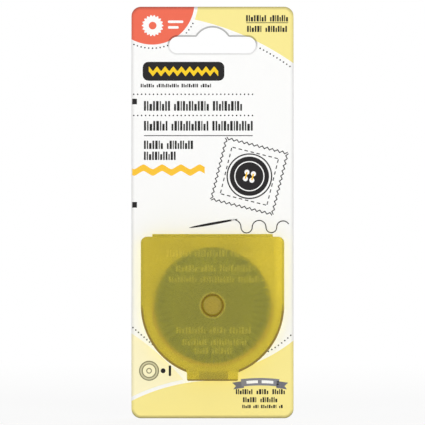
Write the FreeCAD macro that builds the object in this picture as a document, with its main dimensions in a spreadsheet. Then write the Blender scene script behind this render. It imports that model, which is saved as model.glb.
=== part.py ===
import FreeCAD, Part
import math
import os
import Sketcher

# Carded blade pack: a hang card, a hinged moulded case fixed to its face, and a pinking blade inside.
# Millimetres. X to the right, Y from front to back, Z up. The origin is where a shop hook bears:
# the top of the hanging slot's dome, in the middle of the card's thickness.

os.makedirs("parts", exist_ok=True)
doc = FreeCAD.newDocument("BladePack")
sheet = doc.addObject("Spreadsheet::Sheet", "sizes")

# Driving dimensions: alias, value, meaning
driving = [
    ("card_width", 63.5, "card, side to side"),
    ("card_height", 161.2, "card, top to bottom"),
    ("card_thick", 1.0, "board thickness"),
    ("card_corner", 3.7, "card's corner radius"),
    ("card_edge", 0.3, "bevel of the card's pressed edges"),
    ("hook_drop", 8.15, "card's top edge down to the top of the dome"),
    ("slot_width", 34.0, "hanging slot, end to end"),
    ("slot_height", 6.5, "hanging slot, top to bottom"),
    ("dome_rise", 3.6, "dome's top above the slot's top"),
    ("dome_radius", 7.2, "radius of the dome"),
    ("dome_flare", 0.8, "rounding where the dome meets the slot"),
    ("pad_radius", 17.0, "adhesive pad"),
    ("pad_thick", 0.5, "adhesive pad"),
    ("hub_drop", 108.7, "hook point down to the blade's centre"),
    ("case_corner", 2.4, "radius of the case's top corners"),
    ("case_wall", 1.2, "outer walls"),
    ("case_floor", 1.0, "tray's floor"),
    ("base_depth", 3.4, "tray, back to parting line"),
    ("base_edge", 0.35, "bevel of the tray's back edge"),
    ("lid_depth", 2.4, "lid, parting line to front face"),
    ("lid_plate", 1.2, "lid's front plate"),
    ("lid_edge", 0.45, "rounding of the lid's front edge"),
    ("parting_gap", 0.1, "clearance between tray and lid"),
    ("blade_room", 1.5, "blade's edge to the wall round it, at the sides and below"),
    ("head_room", 0.3, "blade's edge to the wall above it"),
    ("well_inset", 4.0, "case's outline in to the wall round the blade"),
    ("well_wall", 0.8, "wall round the blade"),
    ("well_gap", 0.3, "wall round the blade, down from the parting line"),
    ("tab_width", 20.0, "thumb tab"),
    ("tab_reach", 1.45, "thumb tab beyond the round end"),
    ("tab_corner", 0.7, "thumb tab's lower corners"),
    ("tab_foot", 0.6, "rounding where the thumb tab leaves the round end"),
    ("nail_width", 13.0, "nail notch in the lid's tab"),
    ("nail_height", 0.5, "nail notch, up from the tab's end"),
    ("nail_depth", 0.6, "nail notch, forward from the parting line"),
    ("tongue_width", 11.4, "latch tongue"),
    ("tongue_thick", 0.8, "latch tongue"),
    ("tongue_length", 2.2, "latch tongue, past the lid's parting face"),
    ("tongue_inset", 0.95, "tab's outer edge in to the tongue"),
    ("tongue_gap", 0.2, "clearance round the tongue and at its tip"),
    ("hinge_inset", 4.5, "case's side in to the end of the hinge"),
    ("hinge_rise", 0.8, "hinge lips above the case's top wall"),
    ("base_lip", 1.9, "tray's hinge lip, front to back"),
    ("lid_lip", 1.6, "lid's hinge lip, front to back"),
    ("film_radius", 0.25, "rolled hinge film"),
    ("film_gap", 0.05, "film to the lid's lip"),
    ("blade_radius", 22.5, "45 mm blade"),
    ("blade_bore", 4.0, "radius of the blade's bore"),
    ("blade_thick", 0.3, "blade sheet"),
    ("rim_start", 15.0, "radius where the pleats begin"),
    ("rim_swing", 0.8, "height of a pleat above the flat of the blade, at the edge"),
    ("rim_gap", 0.45, "pleats to the tray's floor"),
    ("grind_width", 1.1, "ground bevel, on radius"),
    ("edge_land", 0.04, "blade's cutting edge"),
    ("pleats", 48, "pleats round the rim"),
    ("crest_share", 0.12, "half of a pleat's flat crest, as a share of one pleat"),
    ("bore_gap", 0.1, "post to the blade's bore, on radius"),
    ("seat_radius", 6.2, "post's seat under the blade"),
    ("post_sink", 0.1, "post's end below the lid's front face"),
    ("post_chamfer", 0.35, "lead at the post's end"),
    ("post_skin", 1.1, "post's solid end"),
    ("core_radius", 2.6, "hollow up the back of the post"),
    ("eye_gap", 0.5, "post to the lid's eye, on radius"),
    ("eye_chamfer", 0.25, "lead at the front of the lid's eye"),
    ("collar_wall", 0.6, "collar round the lid's eye"),
    ("collar_gap", 0.1, "collar to the blade"),
]
for row, (alias, value, meaning) in enumerate(driving, 1):
    sheet.set(f"A{row}", meaning)
    sheet.set(f"B{row}", str(value))
    sheet.setAlias(f"B{row}", alias)
doc.recompute()
size = {alias: float(sheet.get(alias)) for alias, value, meaning in driving}

# Depths forward from the case's back, and heights above the blade's centre, from the cells
case_back = "-(sizes.card_thick / 2 + sizes.pad_thick)"
hub_height = "-sizes.hub_drop"
parting = "(sizes.base_depth + sizes.parting_gap)"
blade_back = "(sizes.case_floor + sizes.rim_gap + sizes.rim_swing)"
post_end = f"({parting} + sizes.lid_depth - sizes.post_sink)"
post_radius = "(sizes.blade_bore - sizes.bore_gap)"
eye_radius = f"({post_radius} + sizes.eye_gap)"
collar_drop = f"({parting} - {blade_back} - sizes.blade_thick - sizes.collar_gap)"
case_half_width = "(sizes.blade_radius + sizes.blade_room + sizes.well_inset)"
case_rise = "(sizes.blade_radius + sizes.head_room + sizes.well_inset)"
tab_low = f"({case_half_width} + sizes.tab_reach)"
tab_root = f"(sqrt({case_half_width} ^ 2 - (sizes.tab_width / 2) ^ 2) - sizes.case_wall)"
tongue_low = f"({tab_low} - sizes.tongue_inset)"
film_height = f"({case_rise} + sizes.hinge_rise)"
hinge_width = f"(2 * ({case_half_width} - sizes.hinge_inset))"
well_outside = "(sizes.well_inset - sizes.well_wall)"
inner_corner = "max(sizes.case_corner - sizes.case_wall; sizes.case_wall / 4)"

# The case's half width and height above the blade's centre as numbers, to draw its outline and find its edges
half_width = size["blade_radius"] + size["blade_room"] + size["well_inset"]
top_height = size["blade_radius"] + size["head_room"] + size["well_inset"]

out_of_page = FreeCAD.Vector(0, 0, 1)
axis_to_front = FreeCAD.Rotation(FreeCAD.Vector(1, 0, 0), 90)
axis_to_right = FreeCAD.Rotation(FreeCAD.Vector(0, 1, 0), 90)


def bind(item, bindings):
    for name, expression in bindings.items():
        item.setExpression(name, expression)


def new_body(name, y, z):
    """An empty body with its own origin at x = 0 and the given y and z."""
    body = doc.addObject("PartDesign::Body", name)
    body.Label = name
    bind(body, {"Placement.Base.y": y, "Placement.Base.z": z})
    return body


def new_sketch(body, name, depth):
    """A sketch that faces the front, the given depth in front of the body's origin."""
    sketch = body.newObject("Sketcher::SketchObject", name)
    upright = next(plane for plane in body.Origin.OriginFeatures if plane.Role == "XZ_Plane")
    sketch.AttachmentSupport = [(upright, "")]
    sketch.MapMode = "FlatFace"
    bind(sketch, {"AttachmentOffset.Base.z": depth})
    return sketch


def hold(sketch, name, expression, kind, *where):
    """A named dimension of a sketch, tied to the cells."""
    index = sketch.addConstraint(Sketcher.Constraint(kind, *where))
    sketch.renameConstraint(index, name)
    sketch.setExpression(f"Constraints.{name}", expression)


def arc_piece(x, y, radius, first, last):
    return Part.ArcOfCircle(Part.Circle(FreeCAD.Vector(x, y, 0), out_of_page, radius), first, last)


def line_piece(x, y, other_x, other_y):
    return Part.LineSegment(FreeCAD.Vector(x, y, 0), FreeCAD.Vector(other_x, other_y, 0))


def case_outline(sketch, name, inset):
    """The case's outline, moved inwards: half-round lower end, straight sides, straight top."""
    radius, rise = half_width, top_height
    low = sketch.addGeometry(arc_piece(0, 0, radius, math.pi, 2 * math.pi))
    right = sketch.addGeometry(line_piece(radius, 0, radius, rise))
    top = sketch.addGeometry(line_piece(radius, rise, -radius, rise))
    left = sketch.addGeometry(line_piece(-radius, rise, -radius, 0))
    for first, second in ((low, right), (right, top), (top, left), (left, low)):
        sketch.addConstraint(Sketcher.Constraint("Coincident", first, 2, second, 1))
    sketch.addConstraint(Sketcher.Constraint("Coincident", low, 3, -1, 1))
    sketch.addConstraint(Sketcher.Constraint("PointOnObject", low, 1, -1))
    sketch.addConstraint(Sketcher.Constraint("PointOnObject", low, 2, -1))
    sketch.addConstraint(Sketcher.Constraint("Vertical", right))
    sketch.addConstraint(Sketcher.Constraint("Vertical", left))
    sketch.addConstraint(Sketcher.Constraint("Horizontal", top))
    hold(sketch, name + "_radius", f"{case_half_width} - {inset}", "Radius", low, radius)
    hold(sketch, name + "_rise", f"{case_rise} - {inset}", "DistanceY", right, 1, right, 2, rise)


def extrude(body, kind, name, sketch, length, flipped=False):
    feature = body.newObject(kind, name)
    feature.Profile = sketch
    feature.Reversed = flipped
    bind(feature, {"Length": length})
    doc.recompute()
    return feature


def block(body, kind, name, width, depth, height, back, low):
    """A box centred on x = 0, from the depth back forwards and from the height low upwards."""
    box = body.newObject(kind, name)
    bind(box, {"Length": width, "Width": depth, "Height": height, "Placement.Base.z": low})
    bind(box, {"Placement.Base.x": f"-({width}) / 2", "Placement.Base.y": f"-({back}) - ({depth})"})
    doc.recompute()
    return box


def peg(body, kind, name, radius, length, back):
    """A cylinder on the blade's axis, from the depth back forwards."""
    cylinder = body.newObject(kind, name)
    cylinder.Placement.Rotation = axis_to_front
    bind(cylinder, {"Radius": radius, "Height": length, "Placement.Base.y": f"-({back})"})
    doc.recompute()
    return cylinder


def rod(body, kind, name, radius, length, depth, height):
    """A cylinder that runs from side to side, centred on x = 0."""
    cylinder = body.newObject(kind, name)
    cylinder.Placement.Rotation = axis_to_right
    bind(cylinder, {"Radius": radius, "Height": length, "Placement.Base.x": f"-({length}) / 2"})
    bind(cylinder, {"Placement.Base.y": f"-({depth})", "Placement.Base.z": height})
    doc.recompute()
    return cylinder


def dress(body, kind, name, base, chosen, amount):
    """A fillet or chamfer on those edges of a feature whose three points pass the test."""
    names = []
    for number, edge in enumerate(base.Shape.Edges, 1):
        first, last = edge.ParameterRange
        if chosen([edge.valueAt(first + (last - first) * share) for share in (0, 0.5, 1)]):
            names.append(f"Edge{number}")
    feature = body.newObject(kind, name)
    feature.Base = (base, names)
    bind(feature, {"Size" if kind.endswith("Chamfer") else "Radius": amount})
    doc.recompute()
    return feature


def near(value, target):
    return abs(value - target) < 1e-4


def runs_deep(points):
    """True for an edge that runs straight from front to back."""
    start, end = points[0], points[2]
    return near(start.x, end.x) and near(start.z, end.z) and not near(start.y, end.y)


def at_depth(points, depth):
    """True for an edge that lies in a plane parallel to the card."""
    return all(near(point.y, -depth) for point in points)


# Hang card: a pressed board with a slot and a dome for the hook
card = new_body("hang_card", "sizes.card_thick / 2", "0")
card_low = "sizes.hook_drop - sizes.card_height"
board = block(
    card,
    "PartDesign::AdditiveBox",
    "board",
    "sizes.card_width",
    "sizes.card_thick",
    "sizes.card_height",
    "0",
    card_low,
)
dress(card, "PartDesign::Fillet", "card_corners", board, runs_deep, "sizes.card_corner")

end_radius = size["slot_height"] / 2
end_place = size["slot_width"] / 2 - end_radius
slot_middle = -size["dome_rise"] - end_radius
slot = new_sketch(card, "slot_outline", "0")
left_end = slot.addGeometry(arc_piece(-end_place, slot_middle, end_radius, math.pi / 2, 1.5 * math.pi))
slot_low = slot.addGeometry(line_piece(-end_place, slot_middle - end_radius, end_place, slot_middle - end_radius))
right_end = slot.addGeometry(arc_piece(end_place, slot_middle, end_radius, -math.pi / 2, math.pi / 2))
slot_high = slot.addGeometry(line_piece(end_place, slot_middle + end_radius, -end_place, slot_middle + end_radius))
for first, second in ((left_end, slot_low), (slot_low, right_end), (right_end, slot_high), (slot_high, left_end)):
    slot.addConstraint(Sketcher.Constraint("Tangent", first, 2, second, 1))
slot.addConstraint(Sketcher.Constraint("Symmetric", left_end, 3, right_end, 3, -2))
hold(slot, "end_radius", "sizes.slot_height / 2", "Radius", left_end, end_radius)
hold(slot, "end_place", "sizes.slot_width / 2 - sizes.slot_height / 2", "DistanceX", -1, 1, right_end, 3, end_place)
hold(slot, "slot_drop", "sizes.dome_rise + sizes.slot_height / 2", "DistanceY", right_end, 3, -1, 1, -slot_middle)
extrude(card, "PartDesign::Pocket", "slot_cut", slot, "sizes.card_thick", flipped=True)

# The dome is a segment of a disc whose top is the hook point. Its chord lies inside the slot.
dome_radius = size["dome_radius"]
chord_half = math.sqrt(dome_radius**2 - (dome_radius + slot_middle) ** 2)
chord_angle = math.asin((dome_radius + slot_middle) / dome_radius)
dome = new_sketch(card, "dome_outline", "0")
crown = dome.addGeometry(arc_piece(0, -dome_radius, dome_radius, chord_angle, math.pi - chord_angle))
chord = dome.addGeometry(line_piece(-chord_half, slot_middle, chord_half, slot_middle))
dome.addConstraint(Sketcher.Constraint("Coincident", crown, 2, chord, 1))
dome.addConstraint(Sketcher.Constraint("Coincident", chord, 2, crown, 1))
dome.addConstraint(Sketcher.Constraint("Horizontal", chord))
dome.addConstraint(Sketcher.Constraint("PointOnObject", crown, 3, -2))
hold(dome, "crown_radius", "sizes.dome_radius", "Radius", crown, dome_radius)
hold(dome, "crown_drop", "sizes.dome_radius", "DistanceY", crown, 3, -1, 1, dome_radius)
hold(dome, "chord_drop", "sizes.dome_rise + sizes.slot_height / 2", "DistanceY", chord, 1, -1, 1, -slot_middle)
dome_cut = extrude(card, "PartDesign::Pocket", "dome_cut", dome, "sizes.card_thick", flipped=True)


def dome_foot(points):
    return runs_deep(points) and near(points[0].z, -size["dome_rise"]) and abs(points[0].x) < dome_radius


def card_rim(points):
    return at_depth(points, 0) or at_depth(points, size["card_thick"])


flares = dress(card, "PartDesign::Fillet", "dome_flares", dome_cut, dome_foot, "sizes.dome_flare")
dress(card, "PartDesign::Chamfer", "card_edges", flares, card_rim, "sizes.card_edge")

# Adhesive pad between the card and the case
pad = doc.addObject("Part::Cylinder", "adhesive_pad")
pad.Label = "adhesive_pad"
pad.Placement.Rotation = axis_to_front
bind(pad, {"Radius": "sizes.pad_radius", "Height": "sizes.pad_thick"})
bind(pad, {"Placement.Base.y": "-sizes.card_thick / 2", "Placement.Base.z": hub_height})


def case_half(body, depth, outer_depth, edge_kind, edge_size):
    """The outside of the tray or the lid: outline, thumb tab, corners and the eased outer edge."""
    outline = new_sketch(body, body.Name + "_outline", "0")
    case_outline(outline, "outside", "0")
    extrude(body, "PartDesign::Pad", body.Name + "_block", outline, depth)
    tab = block(
        body,
        "PartDesign::AdditiveBox",
        body.Name + "_tab",
        "sizes.tab_width",
        depth,
        f"{tab_low} - {tab_root}",
        "0",
        f"-{tab_low}",
    )

    def top_corner(points):
        return runs_deep(points) and near(abs(points[0].x), half_width) and points[0].z > half_width / 2

    def tab_foot(points):
        return runs_deep(points) and -half_width < points[0].z < -half_width / 2

    def tab_corner(points):
        return runs_deep(points) and points[0].z < -half_width

    corners = dress(body, "PartDesign::Fillet", body.Name + "_corners", tab, top_corner, "sizes.case_corner")
    feet = dress(body, "PartDesign::Fillet", body.Name + "_tab_feet", corners, tab_foot, "sizes.tab_foot")
    tab_ends = dress(body, "PartDesign::Fillet", body.Name + "_tab_ends", feet, tab_corner, "sizes.tab_corner")

    def outer_rim(points):
        return at_depth(points, outer_depth)

    return dress(body, edge_kind, body.Name + "_rim", tab_ends, outer_rim, edge_size)


def case_wall_ring(body, name, depth, length):
    """The wall round the blade, which follows the case's outline."""
    ring = new_sketch(body, name + "_outline", depth)
    case_outline(ring, "ring_outside", well_outside)
    case_outline(ring, "ring_inside", "sizes.well_inset")
    return extrude(body, "PartDesign::Pad", name, ring, length)


def case_hollow(body, name, depth, length, flipped):
    """The hollow inside the outer walls, with rounded top corners."""
    outline = new_sketch(body, name + "_outline", depth)
    case_outline(outline, "inside", "sizes.case_wall")
    hollow = extrude(body, "PartDesign::Pocket", name, outline, length, flipped)
    inner_half = half_width - size["case_wall"]
    inner_top = top_height - size["case_wall"]

    def inside_corner(points):
        return runs_deep(points) and near(abs(points[0].x), inner_half) and near(points[0].z, inner_top)

    return dress(body, "PartDesign::Fillet", name + "_corners", hollow, inside_corner, inner_corner)


# Case base: the tray that is fixed to the card
base = new_body("case_base", case_back, hub_height)
case_half(base, "sizes.base_depth", 0, "PartDesign::Chamfer", "sizes.base_edge")
case_hollow(base, "base_hollow", "sizes.base_depth", "sizes.base_depth - sizes.case_floor", False)
case_wall_ring(base, "blade_wall", "sizes.case_floor", "sizes.base_depth - sizes.well_gap - sizes.case_floor")
peg(base, "PartDesign::AdditiveCylinder", "blade_seat", "sizes.seat_radius", blade_back, "0")
post = peg(base, "PartDesign::AdditiveCylinder", "post", post_radius, post_end, "0")


def post_tip(points):
    tip = size["base_depth"] + size["parting_gap"] + size["lid_depth"] - size["post_sink"]
    return at_depth(points, tip)


dress(base, "PartDesign::Chamfer", "post_lead", post, post_tip, "sizes.post_chamfer")
peg(
    base,
    "PartDesign::SubtractiveCylinder",
    "post_core",
    "sizes.core_radius",
    f"{post_end} - sizes.post_skin",
    "0",
)
slot_depth = "(sizes.tongue_length - sizes.parting_gap + sizes.tongue_gap)"
block(
    base,
    "PartDesign::SubtractiveBox",
    "latch_slot",
    "sizes.tongue_width + 2 * sizes.tongue_gap",
    slot_depth,
    "sizes.tongue_thick + 2 * sizes.tongue_gap",
    f"sizes.base_depth - {slot_depth}",
    f"-{tongue_low} - sizes.tongue_gap",
)
block(
    base,
    "PartDesign::AdditiveBox",
    "base_hinge_lip",
    hinge_width,
    "sizes.base_lip",
    "sizes.hinge_rise + sizes.case_wall / 2",
    "sizes.base_depth - sizes.base_lip",
    f"{case_rise} - sizes.case_wall / 2",
)
rod(
    base,
    "PartDesign::AdditiveCylinder",
    "hinge_film",
    "sizes.film_radius",
    hinge_width,
    "sizes.base_depth + sizes.parting_gap / 2",
    film_height,
)

# Case lid: swings up about the hinge film
lid = new_body("case_lid", f"{case_back} - {parting}", hub_height)
case_half(lid, "sizes.lid_depth", size["lid_depth"], "PartDesign::Fillet", "sizes.lid_edge")
hollow_depth = "sizes.lid_depth - sizes.lid_plate"
into_plate = "sizes.lid_depth - sizes.lid_plate / 2"
case_hollow(lid, "lid_hollow", "0", hollow_depth, True)
case_wall_ring(lid, "lid_rib", "0", into_plate)
peg(
    lid,
    "PartDesign::AdditiveCylinder",
    "collar",
    f"{eye_radius} + sizes.collar_wall",
    f"{collar_drop} + {into_plate}",
    f"-{collar_drop}",
)
eye = peg(
    lid,
    "PartDesign::SubtractiveCylinder",
    "eye",
    eye_radius,
    f"{collar_drop} + sizes.lid_depth",
    f"-{collar_drop}",
)


def eye_front(points):
    reach = size["blade_bore"] + size["eye_gap"] + size["collar_wall"]
    return at_depth(points, size["lid_depth"]) and all(abs(point.x) < reach and abs(point.z) < reach for point in points)


dress(lid, "PartDesign::Chamfer", "eye_lead", eye, eye_front, "sizes.eye_chamfer")
block(
    lid,
    "PartDesign::SubtractiveBox",
    "nail_notch",
    "sizes.nail_width",
    "sizes.nail_depth",
    "sizes.nail_height",
    "0",
    f"-{tab_low}",
)
block(
    lid,
    "PartDesign::AdditiveBox",
    "latch_tongue",
    "sizes.tongue_width",
    "sizes.tongue_length + sizes.lid_depth / 2",
    "sizes.tongue_thick",
    "-sizes.tongue_length",
    f"-{tongue_low}",
)
block(
    lid,
    "PartDesign::AdditiveBox",
    "lid_hinge_lip",
    hinge_width,
    "sizes.lid_lip",
    "sizes.hinge_rise + sizes.case_wall / 2",
    "0",
    f"{case_rise} - sizes.case_wall / 2",
)
rod(
    lid,
    "PartDesign::SubtractiveCylinder",
    "film_groove",
    "sizes.film_radius + sizes.film_gap",
    hinge_width,
    "-sizes.parting_gap / 2",
    film_height,
)


# Pinking blade: flat in the middle, with a rim of pleats that grow towards a ground edge
def rim_points(radius, swing, depth):
    """Points round the blade at one radius: two on each crest and two in each trough, pleat by pleat."""
    points = []
    for pleat in range(int(size["pleats"])):
        for middle, side in ((0, 1), (0.5, -1)):
            for share in (middle - size["crest_share"], middle + size["crest_share"]):
                angle = 2 * math.pi * (pleat + share) / size["pleats"]
                place = FreeCAD.Vector(radius * math.cos(angle), -depth - side * swing, radius * math.sin(angle))
                points.append(place)
    return points


def flat_piece(*corners):
    return Part.Face(Part.makePolygon([*corners, corners[0]]))


def rim_band(inner, outer):
    """Faces between two rings of points: a flat one on each crest and trough, two folded ones on each flank."""
    faces = []
    for index in range(len(inner)):
        following = (index + 1) % len(inner)
        a, b, c, d = inner[index], inner[following], outer[following], outer[index]
        place = index % 4
        if place in (0, 2):
            faces.append(flat_piece(a, b, c, d))
        elif place == 1:
            faces += [flat_piece(a, b, d), flat_piece(b, c, d)]
        else:
            faces += [flat_piece(a, b, c), flat_piece(a, c, d)]
    return faces


def blade_shape():
    half = size["blade_thick"] / 2
    grind_start = size["blade_radius"] - size["grind_width"]
    grind_swing = size["rim_swing"] * (grind_start - size["rim_start"]) / (size["blade_radius"] - size["rim_start"])
    bore_axis = FreeCAD.Vector(0, 1, 0)
    bore_lines = []
    edge_rings = []
    faces = []
    for side in (-1, 1):
        flat_end = rim_points(size["rim_start"], 0, side * half)
        grind_ring = rim_points(grind_start, grind_swing, side * half)
        edge_ring = rim_points(size["blade_radius"], size["rim_swing"], side * size["edge_land"] / 2)
        bore_line = Part.makeCircle(size["blade_bore"], FreeCAD.Vector(0, -side * half, 0), bore_axis)
        flat_outline = Part.makePolygon([*flat_end, flat_end[0]])
        flat = Part.makeFace([flat_outline, Part.Wire(bore_line)], "Part::FaceMakerBullseye")
        faces += [flat, *rim_band(flat_end, grind_ring), *rim_band(grind_ring, edge_ring)]
        bore_lines.append(bore_line)
        edge_rings.append(edge_ring)
    for index in range(len(edge_ring)):
        following = (index + 1) % len(edge_ring)
        back, front = edge_rings
        faces.append(flat_piece(back[index], back[following], front[following], front[index]))
    faces.append(Part.makeRuledSurface(*bore_lines))
    shell = Part.makeShell([face for item in faces for face in item.Faces])
    shell.sewShape()
    solid = Part.makeSolid(shell)
    if solid.Volume < 0:
        solid.reverse()
    return solid


blade = doc.addObject("Part::Feature", "pinking_blade")
blade.Label = "pinking_blade"
blade.Shape = blade_shape()
bind(blade, {"Placement.Base.y": f"{case_back} - {blade_back} - sizes.blade_thick / 2", "Placement.Base.z": hub_height})

doc.recompute()
pieces = [card, pad, base, lid, blade]
for item in doc.Objects:
    if "Invalid" in item.State or "Error" in item.State:
        raise RuntimeError(f"{item.Name} did not build: {item.State}")
for piece in pieces:
    if piece.Shape.isNull() or not piece.Shape.isValid() or len(piece.Shape.Solids) != 1:
        raise RuntimeError(f"{piece.Label} is not one sound solid")
for piece in pieces:
    piece.Shape.exportStep(f"parts/{piece.Label}.step")
    box = piece.Shape.BoundBox
    print(
        f"{piece.Label}: {piece.Shape.Volume:.1f} mm3, x {box.XMin:.2f} {box.XMax:.2f},"
        f" y {box.YMin:.2f} {box.YMax:.2f}, z {box.ZMin:.2f} {box.ZMax:.2f}"
    )
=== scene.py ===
import math

import bmesh
import bpy
from mathutils import Matrix, Vector


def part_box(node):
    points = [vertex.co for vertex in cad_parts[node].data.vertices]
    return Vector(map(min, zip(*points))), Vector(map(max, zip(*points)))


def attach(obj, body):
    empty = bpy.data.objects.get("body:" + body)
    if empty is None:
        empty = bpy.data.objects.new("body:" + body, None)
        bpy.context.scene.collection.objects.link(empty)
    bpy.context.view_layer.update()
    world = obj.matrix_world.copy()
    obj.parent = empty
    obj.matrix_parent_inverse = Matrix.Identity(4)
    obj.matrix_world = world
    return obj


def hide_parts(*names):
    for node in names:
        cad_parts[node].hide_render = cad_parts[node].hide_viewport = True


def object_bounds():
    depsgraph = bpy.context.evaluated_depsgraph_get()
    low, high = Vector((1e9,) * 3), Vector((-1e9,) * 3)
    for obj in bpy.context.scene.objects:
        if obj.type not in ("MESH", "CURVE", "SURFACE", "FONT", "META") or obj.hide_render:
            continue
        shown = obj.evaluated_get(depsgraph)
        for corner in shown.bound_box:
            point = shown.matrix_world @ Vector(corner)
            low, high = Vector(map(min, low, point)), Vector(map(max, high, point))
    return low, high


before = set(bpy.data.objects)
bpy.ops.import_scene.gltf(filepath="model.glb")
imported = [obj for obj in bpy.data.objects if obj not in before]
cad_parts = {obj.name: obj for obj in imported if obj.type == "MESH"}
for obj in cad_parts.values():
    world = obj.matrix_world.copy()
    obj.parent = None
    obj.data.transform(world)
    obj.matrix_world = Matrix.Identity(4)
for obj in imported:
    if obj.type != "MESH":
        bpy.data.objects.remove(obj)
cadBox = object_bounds()
print("frame loaded")

mm = 0.001
cardLow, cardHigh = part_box("hang_card")
bladeLow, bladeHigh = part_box("pinking_blade")
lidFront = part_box("case_lid")[0].y
cardFront = cardLow.y
hub = (bladeLow + bladeHigh) / 2  # middle of the blade, which is also the post's axis
toFront = Matrix.Rotation(math.pi / 2, 4, "X")  # a flat drawing's z comes to face the viewer


# 0 to 255, as a paint mixer reads them, to the values that the shader takes
def paint(red, green, blue):
    steps = [value / 255 for value in (red, green, blue)]
    return tuple(step / 12.92 if step < 0.04045 else ((step + 0.055) / 1.055) ** 2.4 for step in steps) + (1,)


# Node work: a Wire is one output socket, and sums on it add Math nodes
class Wire:
    def __init__(self, finish, socket):
        self.finish, self.socket = finish, socket

    def maths(self, operation, *values):
        return self.finish.add("Math", {"operation": operation}, *values)

    def __add__(self, other):
        return self.maths("ADD", self, other)

    def __sub__(self, other):
        return self.maths("SUBTRACT", self, other)

    def __rsub__(self, other):
        return self.maths("SUBTRACT", other, self)

    def __mul__(self, other):
        return self.maths("MULTIPLY", self, other)

    def __pow__(self, other):
        return self.maths("POWER", self, other)

    def __abs__(self):
        return self.maths("ABSOLUTE", self)

    def atLeast(self, other):
        return self.maths("MAXIMUM", self, other)

    def atMost(self, other):
        return self.maths("MINIMUM", self, other)

    __radd__ = __add__
    __rmul__ = __mul__


class Finish:
    def __init__(self, owner, ending="OutputMaterial"):
        owner.use_nodes = True
        self.owner, self.tree = owner, owner.node_tree
        self.tree.nodes.clear()
        self.end = self.tree.nodes.new("ShaderNode" + ending)

    def add(self, kind, settings, *values, sockets=None, out=0):
        node = self.tree.nodes.new("ShaderNode" + kind)
        for key, value in settings.items():
            setattr(node, key, value)
        for place, value in list(enumerate(values)) + list((sockets or {}).items()):
            if isinstance(value, Wire):
                self.tree.links.new(value.socket, node.inputs[place])
            else:
                node.inputs[place].default_value = value
        return Wire(self, node.outputs[out])

    def close(self, surface):
        self.tree.links.new(surface.socket, self.end.inputs["Surface"])
        return self.owner

    # Where the surface is, in millimetres: the vector, then x, y and z
    def place(self, scale=1000):
        where = self.add("TexCoord", {}, out="Object")
        where = self.add("VectorMath", {"operation": "SCALE"}, where, sockets={"Scale": scale})
        return (where, *(self.add("SeparateXYZ", {}, where, out=axis) for axis in "XYZ"))

    def noise(self, where, scale, detail=2.0, rough=0.5):
        sockets = {"Vector": where, "Scale": scale, "Detail": detail, "Roughness": rough}
        return self.add("TexNoise", {}, sockets=sockets, out="Fac")

    # 0 to 1 as the value in millimetres passes zero, by sharp for each millimetre
    def step(self, value, sharp=12.0):
        return self.add("Math", {"operation": "MULTIPLY_ADD", "use_clamp": True}, value, sharp, 0.5)

    # 1 from start to end, 0 outside them
    def band(self, value, start, end, sharp):
        return self.step(value - start, sharp) * self.step(end - value, sharp)

    # Distance from a point in the plane of those two axes
    def away(self, x, z, centreX, centreZ):
        return ((x - centreX) ** 2 + (z - centreZ) ** 2) ** 0.5

    def mix(self, share, first, second):
        return self.add("Mix", {"data_type": "RGBA"}, sockets={0: share, 6: first, 7: second}, out=2)

    # The colour times a number
    def shade(self, colour, amount):
        grey = self.add("CombineXYZ", {}, amount, amount, amount)
        settings = {"data_type": "RGBA", "blend_type": "MULTIPLY"}
        return self.add("Mix", settings, sockets={0: 1, 6: colour, 7: grey}, out=2)

    # The least, and how much more where the noise is full
    def vary(self, noise, least, more):
        return least + noise * more

    def bump(self, height, strength, distance):
        return self.add("Bump", {}, sockets={"Strength": strength, "Distance": distance, "Height": height})

    def principled(self, sockets):
        return self.add("BsdfPrincipled", {}, sockets=sockets)

    # 1 for the rays that see the background: the camera's, and those in metal and glass
    def seenWhite(self):
        rays = ("Is Camera Ray", "Is Glossy Ray", "Is Transmission Ray")
        camera, glossy, through = (self.add("LightPath", {}, out=ray) for ray in rays)
        return camera.atLeast(glossy).atLeast(through)


def newFinish(name):
    return Finish(bpy.data.materials.new(name))


def dress(piece, material):
    piece.data.materials.clear()
    piece.data.materials.append(material)


# Printed board. The fields of colour are circles in the card's plane: x, z and radius in millimetres.
# In every finish a noise is its scale for a millimetre, its detail and its roughness; a shade or rough is the
# least and how much more where the noise is full; and a bump is its strength and its height in metres
cardPrint = {
    "board": paint(251, 251, 250),
    "core": paint(226, 223, 216),
    "coral": paint(238, 103, 75),
    "coralDisc": (-23.68, 9.94, 16.63),
    "gap": 1.4,
    "yellow": paint(249, 234, 147),
    "upperSweep": (-30.13, -101.34, 107.01),
    "cream": paint(254, 246, 203),
    "creamOuter": (-84.25, -199.13, 95.14),
    "creamLower": (4.13, -218.62, 82.18),
    "lowerSweep": (1.3, -210.82, 72.53),
    "rightSweep": (-6.34, -75.08, 60.86),
    "lowerHalf": -100.0,
    "cornerRadius": 3.7,
    # painted edge shade: how wide it is, and how dark on the sides, at the top and at the foot
    "rimWidth": 1.35,
    "sideShade": 0.22,
    "topShade": 0.53,
    "footShade": 0.72,
    "endStart": 1.0,
    "endSharp": 0.5,
    "slot": {"reach": 13.75, "middle": -6.85, "radius": 3.25},
    "dome": {"middle": -7.2, "radius": 7.2},
    # painted shade round the slot and dome: how wide, how fast it fades, how dark below and above, and how
    # fast it turns
    "slotLine": 0.65,
    "slotSharp": 5.0,
    "slotLowShade": 0.16,
    "slotHighShade": 0.5,
    "slotTurn": 0.4,
    "frontDepth": 0.3,
    "rearDepth": 0.12,
    "depthSharp": 40.0,
    "fibre": (3.0, 4.0),
    "inkShade": (0.985, 0.03),
    "backShade": (0.93, 0.06),
    "coreNoise": (6.0, 3.0),
    "coreShade": (0.94, 0.12),
    "roughNoise": (0.8, 2.0),
    "rough": (0.62, 0.06),
    "inkGloss": 0.2,
    "specular": 0.35,
    "tooth": (7.0, 3.0),
    "toothBump": (0.08, 0.00005),
}


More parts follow.
